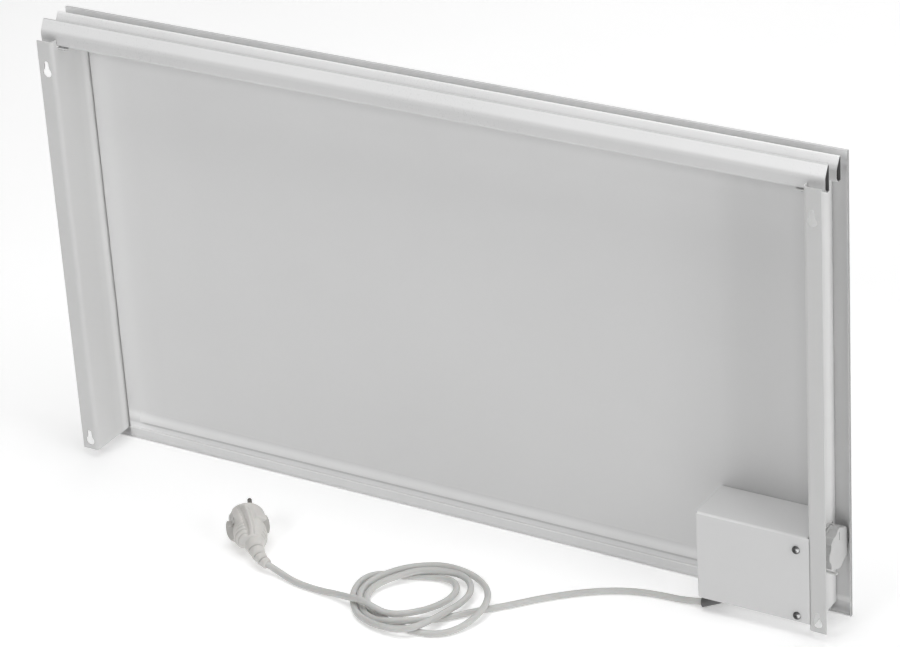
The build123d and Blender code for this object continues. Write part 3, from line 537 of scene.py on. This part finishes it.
def plug_point(th, z):
    """outer skin of the plug at angle th round the axis of the barrel"""
    rx, ry, ox, oy = station(z)
    c, sn = math.cos(th), math.sin(th)
    if z < -15.8:
        edge = 1.2 - math.sqrt(max(0.0, 1.44 - (-15.8 - z) ** 2))
        rx, ry = rx - edge, ry - edge
    if z > 25.4:
        edge = 1.6 - math.sqrt(max(0.0, 2.56 - (z - 25.4) ** 2))
        rx, ry = rx - edge, ry - edge
    # distance from the barrel axis to the shifted ellipse
    qa = (c / rx) ** 2 + (sn / ry) ** 2
    qb = -2.0 * (ox * c / rx ** 2 + oy * sn / ry ** 2)
    qc = (ox / rx) ** 2 + (oy / ry) ** 2 - 1.0
    r = (-qb + math.sqrt(max(0.0, qb * qb - 4.0 * qa * qc))) / (2.0 * qa)
    # facets on both sides of a ridge that runs from the barrel to the neck
    run = smooth((z + 15.0) / 5.0) * smooth((26.5 - z) / 5.0)
    for ridge in (RIDGE - 0.012 * (z - 5.0), RIDGE + math.pi):
        off = angle_off(th, ridge) * r
        r += run * (1.1 * math.exp(-(off / 1.6) ** 2) - 2.4 * math.exp(-((off - 5.0) / 2.5) ** 2))
    # finger grooves across the two flanks
    side = smooth((abs(c) - 0.55) / 0.3)
    for zg in (10.5, 14.5, 18.5, 22.0):
        r -= 1.15 * side * math.exp(-((z - zg) / 0.9) ** 2)
    # collar on opposite quarters, each beside an earth contact slot
    if -4.05 < z < 5.05:
        e = 22.4
        for lim, sg in ((-4.05, -1.0), (5.05, 1.0)):
            d = (lim - z) * sg
            if d < 1.8:
                e -= 1.8 - math.sqrt(max(0.0, 3.24 - (1.8 - d) ** 2))
        for sg, far in ((1.0, 18.5), (-1.0, 19.5)):
            if c * sg > 0.0 and sn * sg > 0.0:
                re = min(e, far / max(0.05, sn * sg))
                if re * sn * sg > 3.45 and re > r:
                    r = re
    # earth contact slots
    if z < 5.0 and abs(r * sn) < 3.55:
        r = min(r, 16.8 / abs(c))
    return Vector((r * c, r * sn, z))


def to_row(v):
    return PLUG_O + (PLUG_X * v.x + PLUG_Y * v.y + PLUG_Z * v.z) * 0.001


def skin(name, rings, close_start, close_end):
    """closed mesh through rings of points; the end rings are closed by fans"""
    verts, faces = [], []
    n = len(rings[0])
    for ring in rings:
        verts.extend(ring)
    for i in range(len(rings) - 1):
        for j in range(n):
            a, b = i * n + j, i * n + (j + 1) % n
            faces.append((a, b, b + n, a + n))
    for ring_i, centre, flip in ((0, close_start, True), (len(rings) - 1, close_end, False)):
        verts.append(centre)
        k = len(verts) - 1
        for j in range(n):
            a, b = ring_i * n + j, ring_i * n + (j + 1) % n
            faces.append((b, a, k) if flip else (a, b, k))
    me = bpy.data.meshes.new(name)
    me.from_pydata([tuple(v) for v in verts], [], faces)
    me.update()
    o = bpy.data.objects.new(name, me)
    scene.collection.objects.link(o)
    for poly in me.polygons:
        poly.use_smooth = True
    return o


thetas = [2 * math.pi * k / 132 for k in range(132)]
for base in (0.0, math.pi):
    for sg in (-1, 1):
        for da in (-0.012, 0.0, 0.012):
            thetas.append((base + sg * (math.asin(3.55 / 18.8) + da)) % (2 * math.pi))
            thetas.append((base + sg * (math.asin(3.55 / 22.4) + da)) % (2 * math.pi))
for base, far in ((0.0, 18.5), (math.pi, 19.5)):
    corner = math.asin(far / 22.4)
    thetas += [(base + corner + da) % (2 * math.pi) for da in (-0.02, 0.0, 0.02)]
thetas = sorted(thetas)
zs = [-17.0, -16.95, -16.8, -16.5, -16.1, -15.8]
zs += [-15.0 + 0.9 * k for k in range(12)]
zs += [-4.7, -4.25, -4.06, -4.04, -3.8, -3.4, -2.9, -2.4, -1.2, 0.0, 1.2, 2.4, 3.4, 3.9, 4.3, 4.7, 4.9, 4.99, 5.02, 5.06, 5.25]
zs += [5.8 + 0.48 * k for k in range(41)] + [25.5, 25.9, 26.2, 26.5, 26.7, 26.85, 26.95]
zs = sorted(set(zs))
rings = [[to_row(plug_point(t, z)) for t in thetas] for z in zs]
# the pin face is sunk a little inside its rim
for rad, z in ((17.0, -17.0), (16.4, -16.9), (15.6, -16.4)):
    ring = []
    for t in thetas:
        v = plug_point(t, -17.0)
        k = min(1.0, rad / 17.6)
        ring.append(to_row(Vector((v.x * k, v.y * k, z))))
    rings.insert(0, ring)
body = skin("plug_housing", rings, to_row(Vector((0.0, 0.0, -16.4))), to_row(Vector((5.3, 0.0, 26.97))))
for key in ("plug", "plug_shade", "plug_half_shade"):
    body.data.materials.append(mats[key])
# painted shade: the collar's shoulders get the darker copy of the rubber, the finger grooves and the faces beside the
# ridge the half-dark copy
for poly in body.data.polygons:
    i, j = divmod(poly.index, len(thetas))
    if i < 3 or i - 3 >= len(zs) - 1:
        continue
    z = 0.5 * (zs[i - 3] + zs[i - 2])
    th = thetas[j]
    c, sn = math.cos(th), math.sin(th)
    on_ear = c * sn > 0.0 and 3.4 / 22.4 < abs(sn) < (0.835 if c > 0 else 0.88)
    off = (th - RIDGE + 0.012 * (z - 5.0)) * 17.0
    if on_ear and -4.1 < z < 5.6:
        poly.material_index = 1
    elif 5.0 < z < 25.0 and 3.0 < off < 8.0:
        poly.material_index = 2
    elif abs(c) > 0.62 and any(abs(z - zg) < 0.55 for zg in (10.5, 14.5, 18.5, 22.0)):
        poly.material_index = 2
    elif -15.0 < z <= 5.0 and 3.6 < off < 7.0:
        poly.material_index = 2
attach(body, "heater")
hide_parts("plug_body")

# strain relief: a curved, tapered boot with lens-shaped grooves
B0 = to_row(Vector((5.2, 0.0, 22.5)))
S0 = to_row(Vector((5.4, 0.0, 27.0)))
S1 = Vector(CORD_POINTS[-1])
lead = (Vector(CORD_POINTS[-2]) - S1).normalized()
B2 = S1 + lead * 0.0015
B1 = S1 - lead * 0.0135
BOOT_L = (B1 - B0).length + (B2 - B1).length
boot_rings = []
NB = 90
for i in range(NB + 1):
    t = i / NB
    c = B0 * (1 - t) ** 2 + B1 * 2 * t * (1 - t) + B2 * t ** 2
    tan = ((B1 - B0) * 2 * (1 - t) + (B2 - B1) * 2 * t).normalized()
    u = (PLUG_X - tan * PLUG_X.dot(tan)).normalized()
    v = tan.cross(u)
    r0 = 9.7 - 4.3 * smooth(0.15 + 0.85 * t) if t < 0.9 else 9.7 - 4.3 * smooth(0.15 + 0.85 * 0.9) + (t - 0.9) * -1.0
    if t > 0.955:
        r0 -= 1.1 * (1.0 - math.sqrt(max(0.0, 1.0 - ((t - 0.955) / 0.045) ** 2)))
    ring = []
    for k in range(72):
        a = 2 * math.pi * k / 72
        r = r0
        for m, (tc, aa) in enumerate(((0.30, 2.0), (0.43, 5.1), (0.56, 2.0), (0.68, 5.1), (0.79, 2.0))):
            wide = max(0.0, math.cos(a - aa) + 0.25) / 1.25
            r -= 1.9 * wide ** 0.6 * math.exp(-((t - tc) / (0.014 + 0.024 * wide)) ** 2)
            r += 0.5 * wide ** 0.6 * math.exp(-((t - tc - 0.055) / 0.018) ** 2)
        ring.append(c + (u * math.cos(a) + v * math.sin(a)) * r * 0.001)
    boot_rings.append(ring)
boot = skin("plug_boot", boot_rings, B0, B2)
boot.data.materials.append(mats["plug"])
boot.data.materials.append(mats["plug_shade"])
# painted shade: the grooves of the boot get the shaded copy of the rubber
for poly in boot.data.polygons:
    i, j = divmod(poly.index, 72)
    t, a = (i + 0.5) / NB, 2 * math.pi * (j + 0.5) / 72
    for tc, aa in ((0.30, 2.0), (0.43, 5.1), (0.56, 2.0), (0.68, 5.1), (0.79, 2.0)):
        if i < NB and math.cos(a - aa) > 0.1 and abs(t - tc) < 0.018:
            poly.material_index = 1
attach(boot, "heater")
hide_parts("plug_strain_relief")

# ---------------------------------------------------------------------- stage
floor_mesh = bpy.data.meshes.new("studio_floor")
floor_mesh.from_pydata([(-14, -14, FLOOR), (14, -14, FLOOR), (14, 14, FLOOR), (-14, 14, FLOOR)], [], [(0, 1, 2, 3)])
floor = bpy.data.objects.new("studio_floor", floor_mesh)
scene.collection.objects.link(floor)
fm = Mat("studio_floor")
fn = fm.noise(3.0, 2.0, 0.5)
fm.base(fm.ramp(fn, [(0.3, (0.93, 0.93, 0.93)), (0.7, (0.95, 0.95, 0.95))]))
fm.rough(fm.remap(fn, 0.3, 0.7, 0.75, 0.85))
fm.set(specular=0.1)
fm.b.inputs["Emission Color"].default_value = (1.0, 1.0, 1.0, 1.0)
fm.b.inputs["Emission Strength"].default_value = 0.27
floor_mesh.materials.append(fm.m)

# --------------------------------------------------------------------- lights
world = bpy.data.worlds.new("studio")
scene.world = world
world.use_nodes = True
wt = world.node_tree
wt.nodes.clear()
wo = wt.nodes.new("ShaderNodeOutputWorld")
bg = wt.nodes.new("ShaderNodeBackground")
wc = wt.nodes.new("ShaderNodeTexCoord")
wsep = wt.nodes.new("ShaderNodeSeparateXYZ")
wr = wt.nodes.new("ShaderNodeMapRange")
wr.inputs["From Min"].default_value = 0.0
wr.inputs["From Max"].default_value = 1.0
wr.inputs["To Min"].default_value = 0.015
wr.inputs["To Max"].default_value = 0.03
wt.links.new(wc.outputs["Generated"], wsep.inputs[0])
wt.links.new(wsep.outputs["Z"], wr.inputs["Value"])
wt.links.new(wr.outputs["Result"], bg.inputs["Strength"])
bg.inputs["Color"].default_value = (1.0, 1.0, 1.0, 1.0)
wt.links.new(bg.outputs[0], wo.inputs[0])


def softbox(name, loc, target, sx, sy, power):
    d = bpy.data.lights.new(name, "AREA")
    d.shape = "RECTANGLE"
    d.size = sx
    d.size_y = sy
    d.energy = power
    o = bpy.data.objects.new(name, d)
    scene.collection.objects.link(o)
    o.location = loc
    o.rotation_euler = (Vector(target) - Vector(loc)).to_track_quat("-Z", "Y").to_euler()
    return o


softbox("top_softbox", (0.0, 0.0, 4.0), (0.0, 0.0, 0.0), 3.6, 3.6, 119.0)
softbox("side_softbox", (-4.0, 0.6, 1.4), (0.0, 0.0, 0.0), 2.4, 2.4, 57.5)
softbox("rear_softbox", (0.6, 3.6, 2.4), (0.0, 0.0, 0.2), 1.2, 1.0, 38.0)
softbox("front_softbox", (0.2, -4.2, 1.4), (0.0, 0.0, 0.0), 3.6, 2.2, 42.0)
